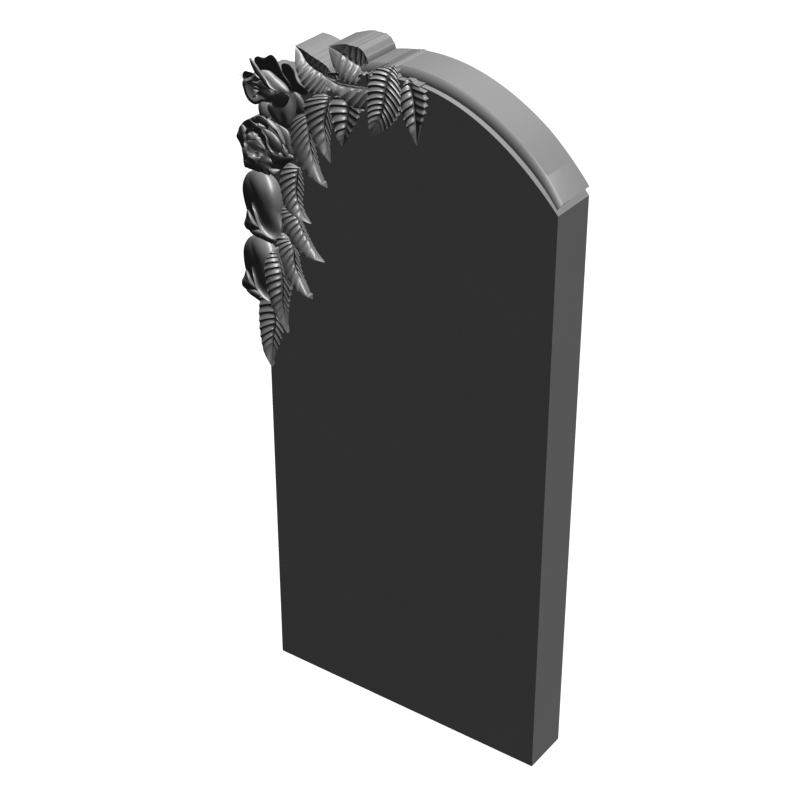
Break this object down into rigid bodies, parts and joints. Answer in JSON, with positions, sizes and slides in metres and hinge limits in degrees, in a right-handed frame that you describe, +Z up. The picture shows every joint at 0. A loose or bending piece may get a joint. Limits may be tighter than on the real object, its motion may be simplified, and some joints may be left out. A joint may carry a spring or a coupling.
{
  "type": "grave slab",
  "caption": "Upright arched stone grave slab with a raised arch band and a carved garland of roses, buds and leaves down its left shoulder.",
  "frame": {"origin": "centre of the slab's underside, on the ground line", "axes": "+Z up, the plain carved face looks to -Y, +X to the viewer's right"},
  "size_m": [0.5506, 0.113, 1.1155],
  "materials": {
    "stone": "honed grey stone, fine even grain"
  },
  "bodies": {
    "root": {"grave_slab": "stone"}
  },
  "joints": []
}
